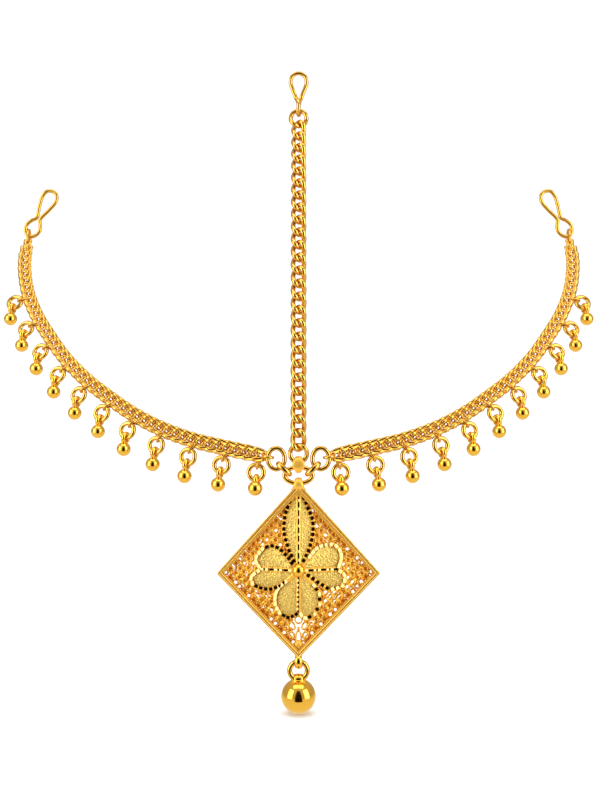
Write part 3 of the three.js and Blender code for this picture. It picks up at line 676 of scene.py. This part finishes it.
x, z = lattice(1)
keep = clear_of_flower(x, z, 0.9) & (np.abs(z) < PENDANT_HIGH * 0.9) & ~in_window(x, z, GRAINS_WINDOW)
x, z = x[keep], z[keep]
grains = repeated(ball_form(GRAIN, 6, 8), on_net(x, z, GRAIN_LIFT), net_axes(x, z),
                  chance.uniform(0.75, 1.2, len(x)))

# Motif below the flower: oval wires at x and z, with half width, half height, lean in degrees and wire

MOTIF = [(0, -11.6, 0.85, 0.9, 0, 0.5), (-1.75, -13.1, 0.68, 1.2, 38, 0.5),
         (1.75, -13.1, 0.68, 1.2, -38, 0.5), (0, -16.2, 0.68, 1.6, 0, 0.5),
         (-1.75, -15.7, 0.66, 0.85, 12, 0.55), (1.75, -15.7, 0.66, 0.85, -12, 0.55)]
MOTIF_LIFT, MOTIF_DEEP, MOTIF_GRAIN, MOTIF_GRAIN_AT = 0.05, 0.75, 0.5, (0, -13.9, 0.2)


def flat_oval(x, z, half_wide, half_high, lean, wire):
    """An oval wire lying on the net, leaning by an angle."""
    c, s = np.cos(np.radians(lean)), np.sin(np.radians(lean))
    return oval(on_net(x, z, MOTIF_LIFT), np.array([c, 0, s]) * half_wide, np.array([-s, 0, c]) * half_high,
                wire, MOTIF_DEEP, steps=24, around=8)


motif = [*[flat_oval(*row) for row in MOTIF], moved(ball_form(MOTIF_GRAIN, 8, 12), on_net(*MOTIF_GRAIN_AT))]
pendant_piece("filigree_rings_look", [cell_rings, grains, *motif], filigree)
# The wires and plugs behind the net carry the painted shade of the cells.
pendant_piece("filigree_wires_look", [*back_wires(), plugs], backing)

# Petals and leaf

LOBE_EDGE, LOBE_DOME, LOBE_BACK = 0.42, 0.42, -0.25


def lobe_form(path):
    """A domed lobe: the outline shrinks to its middle as rows, raised by one less the square of the share."""
    middle = path.mean(0)
    share = np.array([1.0, 1.0, 0.97, 0.9, 0.8, 0.66, 0.5, 0.33, 0.16])
    lift = np.array([LOBE_BACK, 0.3, LOBE_EDGE, *(LOBE_EDGE + LOBE_DOME * (1 - share[3:] ** 2))])
    flat = middle + (path - middle) * share[:, None, None] + [0, FLOWER_UP]
    spot = middle + [0, FLOWER_UP]
    return capped_grid(on_net(flat[..., 0], flat[..., 1], lift[:, None]), on_net(*spot, LOBE_BACK),
                       on_net(*spot, LOBE_EDGE + LOBE_DOME))


pendant_piece("petals_look", [lobe_form(path) for path in lobe_paths], stippled)

# Diamond-cut outlines and ribs: rows of small blocks. A tilt of nought leaves a block's top facing out, so
# that it looks dark, and one or two turn it to the nearer side, so that it looks bright

DARK, BRIGHT, MIXED = (0,), (1, 1, 2, 1), (0, 1)
CUT_HIGH, CUT_LIFT, RIB_LIFT = 0.42, 0.5, 0.62
SIDE_ANGLE, ANGLE_STEP, BRIGHT_UPWARD, DARK_UPWARD = 24, 5, 4, [6, 1, 9, -3]
REACH = 0.2
# Width, length and share of the length that is filled
BRIGHT_CUT, DARK_CUT = (0.95, 1.3, 1.06), (0.92, 1.35, 0.72)
# Lobe, first drawing point, the one after the last, and tilts
CUTS = [("upper_left", 0, 4, DARK), ("upper_left", 3, 6, BRIGHT), ("lower_left", 2, 5, BRIGHT),
        ("lower_left", 4, 8, DARK), ("upper_right", 2, 7, BRIGHT), ("lower_right", 0, 4, DARK),
        ("lower_right", 3, 7, BRIGHT), ("bottom_left", 1, 6, BRIGHT), ("bottom_left", 5, 9, DARK),
        ("bottom_right", 2, 5, BRIGHT), ("bottom_right", 4, 9, MIXED), ("leaf_left", 0, 10, DARK),
        ("leaf_right", 2, 11, DARK)]
# Start, end, width, length and tilts, with the blocks filling a little more than their length
RIBS = [((-9.6, 0.15), (-1.4, 0.0), 0.62, 1.1, (1, 2, 0)), ((1.4, 0.0), (9.8, 0.15), 0.62, 1.1, (1, 0, 2)),
        ((0.0, -1.5), (-0.1, -10.6), 0.5, 0.62, MIXED), ((0.0, 1.5), (0.0, 18.8), 0.5, 0.7, (0, 1, 0))]
RIB_FILLED = 1.02


def cut_block(length, wide):
    """A short block with a flat top, its sides sloping in towards the top."""
    x = np.array([-1, 1, 1, -1]) * length / 2
    y = np.array([-1, -1, 1, 1]) * wide / 2
    rows = np.stack([np.stack([x * long_share, y * wide_share, np.full(4, at)], -1)
                     for long_share, wide_share, at in ((1, 1, -0.3), (1, 1, CUT_HIGH * 0.55),
                                                        (0.92, 0.86, CUT_HIGH))])
    return capped_grid(rows, rows[0].mean(0), rows[-1].mean(0))


def cut_wire(path, wide, long, filled, tilts, lift):
    """Cut blocks at even lengths along a path on the pyramid, each block's top turned by its tilt."""
    run = np.concatenate([[0], np.cumsum(np.linalg.norm(np.diff(path, axis=0), axis=1))])
    count = max(2, int(round(run[-1] / long)))
    at = (np.arange(count) + 0.5) / count * run[-1]
    flat, ahead, behind = (np.stack([np.interp(np.clip(at + by, 0, run[-1]), run, column) for column in path.T],
                                    -1) + [0, FLOWER_UP] for by in (0, REACH, -REACH))
    tangent = on_net(*ahead.T) - on_net(*behind.T)
    tilts = np.resize(tilts, count)
    to_side = np.radians(np.where(tilts > 0, np.sign(flat[:, 0] + 1e-6) * (SIDE_ANGLE + ANGLE_STEP * tilts), 0))
    upward = np.radians(np.where(tilts > 0, BRIGHT_UPWARD, np.resize(DARK_UPWARD, count)))
    front = np.stack([np.sin(to_side) * np.cos(upward), -np.cos(to_side) * np.cos(upward), np.sin(upward)], -1)
    tangent = unit(tangent - front * (tangent * front).sum(-1, keepdims=True))
    axes = np.stack([tangent, np.cross(front, tangent), front], 1)
    return repeated(cut_block(long * filled, wide), on_net(*flat.T, lift), axes)


def cut_run(name, start, end, tilts):
    """Cut blocks along the stretch of a lobe's outline between two of its drawing points."""
    wide, long, filled = BRIGHT_CUT if tilts is BRIGHT else DARK_CUT
    return cut_wire(smooth_path(LOBES[name][start:end], False, 200), wide, long, filled, tilts, CUT_LIFT)


def rib(start, end, wide, long, tilts):
    """Cut blocks along a straight line."""
    t = np.linspace(0, 1, 60)[:, None]
    path = np.array([start]) * (1 - t) + np.array([end]) * t
    return cut_wire(path, wide, long, RIB_FILLED, tilts, RIB_LIFT)


def corner_nub(z, half_wide, half_high, lift):
    """A low domed plate with the shape of the pendant's corner."""
    corners = np.array([[half_wide, 0], [0, half_high], [-half_wide, 0], [0, -half_high]])
    share = np.array([1.0, 1.0, 0.9, 0.7, 0.45, 0.2])
    rise = np.array([-0.5, 0.1, lift * 0.5, lift * 0.8, lift * 0.95, lift])
    flat = smooth_path(corners, True, 40) * share[:, None, None] + [0, z]
    rows = on_net(flat[..., 0], flat[..., 1], rise[:, None] + 0.2)
    return capped_grid(rows, on_net(0, z, -0.3), on_net(0, z, lift + 0.2))


under = [closed_wire(on_net(path[:, 0], path[:, 1] + FLOWER_UP, LOBE_EDGE), 1.15, BACK, wide=0.75, around=8)
         for path in lobe_paths]
nubs = [corner_nub(PENDANT_HIGH - 1.1, 1.9, 2.4, 0.9), corner_nub(2.2 - PENDANT_HIGH, 1.9, 2.2, 0.7)]
pendant_piece("outline_wires_look", [*under, *nubs], satin)
pendant_piece("cut_outlines_look", [*[cut_run(*row) for row in CUTS], *[rib(*row) for row in RIBS]], facet,
              smooth=False)

# Bails and the flower's ball

BAIL, BAIL_WALL, BAIL_FOOT, BAIL_TOP = 1.3, 0.8, 3.2, 1.7
CENTRE_BALL, BALL_SUNK = 1.75, 0.52
apex = PENDANT_BASE - PENDANT_RISE - PETAL_RAISE
ball_spot = np.array([0, apex + BALL_SUNK, FLOWER_UP])
bail_gap = BAIL_INNER - JUMP_WIRE / 2 - WIRE_GAP
upper_bail = UP * (-RING_HIGH - bail_gap) - PENDANT
ball_ring_top = PENDANT[2] - PENDANT_HIGH - TIP_CLEAR - BALL_RING_WIRE / 2
lower_bail = UP * (ball_ring_top + BAIL_INNER - BALL_RING_WIRE / 2 - WIRE_GAP) - PENDANT
bail_path = oval_path(upper_bail, BACK * BAIL, UP * BAIL)
bail_wide = np.interp(bail_path[:, 2] - upper_bail[2], [-BAIL, BAIL], [BAIL_FOOT, BAIL_TOP])
pendant_piece("pendant_bail_look", [
    closed_wire(bail_path, BAIL_WALL, RIGHT, bail_wide, around=16),
    rim_wire(0.75, -0.75, 0.8, 1.3, 0.3)], satin)
pendant_piece("pendant_ball_look", [
    moved(ball_form(CENTRE_BALL, 20, 28), ball_spot),
    oval(lower_bail, BACK * 1.4, UP * 1.4, 1.0, wide=1.8, around=16)], polished)

# Ring and large ball

COLLAR, COLLAR_STEP, COLLAR_SUNK = 1.9, 0.3, 0.32
ball_ring_centre = UP * (ball_ring_top - BALL_RING)
piece("drop_ring_look", [oval(ball_ring_centre, RIGHT * BALL_RING, UP * BALL_RING, BALL_RING_LOOK, steps=64,
                              around=16)], "drop_ring", drawn, ["drop_ring"])
axle = ball_ring_centre[2] - BALL_RING


def collar_form():
    """A low turned collar with a quarter-round step."""
    angle = np.linspace(0, np.pi / 2, 7)
    radii = np.concatenate([[0, COLLAR], COLLAR - COLLAR_STEP + COLLAR_STEP * np.cos(angle), [0]])
    heights = np.concatenate([[-COLLAR_STEP] * 2, COLLAR_STEP * np.sin(angle) + 0.05, [0.38]])
    return lathe(radii, heights, 40)


piece("drop_ball_look", [
    moved(ball_form(BALL, 48, 64), UP * (axle - BALL_HANG)),
    moved(collar_form(), UP * (axle - BALL_HANG + BALL - COLLAR_SUNK)),
    oval(UP * (axle - (BAIL_INNER - BALL_RING_WIRE / 2 - WIRE_GAP)), BACK * BAIL, UP * BAIL, 0.6, wide=2.3,
         around=16)], "drop_ball", polished, ["drop_ball"])

# Floor and backdrop, in metres

FRONT, CURVE_START, CURVE, WALL_HIGH, HALF_ACROSS = -3.0, 0.45, 0.4, 2.5, 9


def stage_sheet(name, points, quads, colour):
    """A sheet of rough paper that belongs to the stage, and its shader."""
    mesh = bpy.data.meshes.new(name)
    mesh.from_pydata(points, [], quads)
    material, shader = coloured(name, colour, 1)
    shader.inputs["Specular IOR Level"].default_value = 0
    mesh.materials.append(material)
    made = bpy.data.objects.new(name, mesh)
    bpy.context.scene.collection.objects.link(made)
    return made, shader


def cove():
    """Floor and backdrop in one sheet: flat, then a quarter circle up to a wall."""
    turn = np.linspace(0, np.pi / 2, 16)
    y = np.concatenate([[FRONT, -1.0, 0.0], CURVE_START + CURVE * np.sin(turn), [CURVE_START + CURVE]])
    z = np.concatenate([[0, 0, 0], CURVE - CURVE * np.cos(turn), [WALL_HIGH]]) + cad_low[2]
    points = np.stack([np.stack([0 * y + x, y, z], -1) for x in np.linspace(-HALF_ACROSS, HALF_ACROSS, 13)])
    made, shader = stage_sheet("cove", points.reshape(-1, 3).tolist(), grid_quads(numbered(points)).tolist(),
                               (0.8, 0.8, 0.82))
    made.data.polygons.foreach_set("use_smooth", np.full(len(made.data.polygons), True))
    shader.inputs["Emission Color"].default_value = (1, 1, 1, 1)
    shader.inputs["Emission Strength"].default_value = 0.1
    made.visible_glossy = False


def card(name, centre, half_wide, half_high, top_share, look, colour):
    """A flat sheet facing a point, narrower at the top, seen only in the jewel's reflections."""
    centre = np.array(centre, float)
    ahead = unit(np.array(look, float) - centre)
    across = unit(np.cross(ahead, UP))
    up = np.cross(across, ahead)
    corners = [(-1, -1), (1, -1), (top_share, 1), (-top_share, 1)]
    points = [tuple(centre + across * half_wide * a + up * half_high * b) for a, b in corners]
    made, _ = stage_sheet(name, points, [(0, 1, 2, 3)], colour)
    made.visible_camera = False
    made.visible_diffuse = False
    made.visible_shadow = False


def area(name, place, size, radiance, mirrored=True, look=(0, 0, -0.09)):
    """A soft box that faces a point, of one brightness all over. Some aren't seen in the reflections."""
    light = bpy.data.lights.new(name, "AREA")
    light.shape = "RECTANGLE"
    light.size, light.size_y = size
    light.energy = radiance * np.pi * size[0] * size[1]
    made = bpy.data.objects.new(name, light)
    made.location = place
    away = Vector(place) - Vector(look)
    made.rotation_euler = away.to_track_quat("Z", "Y").to_euler()
    made.visible_glossy = mirrored
    bpy.context.scene.collection.objects.link(made)


cove()
card("dark_card", (0, -0.33, -0.08), 0.17, 0.24, 0.4, (0, 0, -0.1), (0.01, 0.006, 0.003))
area("left_box", (-0.42, -0.26, 0.02), (0.3, 0.5), 3.2)
area("right_box", (0.42, -0.26, 0.02), (0.3, 0.5), 3.2)
area("top_box", (0, -0.1, 0.5), (0.7, 0.4), 1.8)
area("floor_box", (0, 0.1, 0.7), (0.7, 0.7), 1.7, mirrored=False)
area("wall_box", (0, 0.2, 0.9), (1.2, 0.4), 3.2, mirrored=False, look=(0, 1.2, 0.1))

# Surroundings, pale below, darker just above the horizon and paler again overhead

SKY = [(0.36, (0.86, 0.85, 0.78, 1)), (0.52, (0.48, 0.45, 0.4, 1))]
world = bpy.data.worlds.new("studio")
bpy.context.scene.world = world
world.use_nodes = True
sky, sky_links = world.node_tree.nodes, world.node_tree.links
direction = sky.new("ShaderNodeTexCoord")
split = sky.new("ShaderNodeSeparateXYZ")
half_up = sky.new("ShaderNodeMapRange")
half_up.inputs["From Min"].default_value = -1
ramp = sky.new("ShaderNodeValToRGB")
ramp.color_ramp.elements[0].color = (0.9, 0.9, 0.84, 1)
ramp.color_ramp.elements[1].color = (0.62, 0.61, 0.58, 1)
for place, colour in SKY:
    ramp.color_ramp.elements.new(place).color = colour
sky_links.new(direction.outputs["Generated"], split.inputs[0])
sky_links.new(split.outputs["Z"], half_up.inputs["Value"])
sky_links.new(half_up.outputs["Result"], ramp.inputs["Fac"])
sky_links.new(ramp.outputs["Color"], sky["Background"].inputs["Color"])

# Camera on the photograph's axis, level with the middle of the picture

CAMERA_RIGHT, CAMERA_AWAY, CAMERA_UP = 0.000375, 0.26, 0.018825
camera_data = bpy.data.cameras.new("camera")
camera_data.lens = 46.8
camera_data.sensor_width = 36
camera_data.clip_start = 0.01
camera = bpy.data.objects.new("camera", camera_data)
camera.location = (CAMERA_RIGHT, ORIGIN[1] - CAMERA_AWAY, ORIGIN[2] + CAMERA_UP)
camera.rotation_euler = (np.pi / 2, 0, 0)
bpy.context.scene.collection.objects.link(camera)
bpy.context.scene.camera = camera
bpy.context.scene.view_settings.view_transform = "Standard"
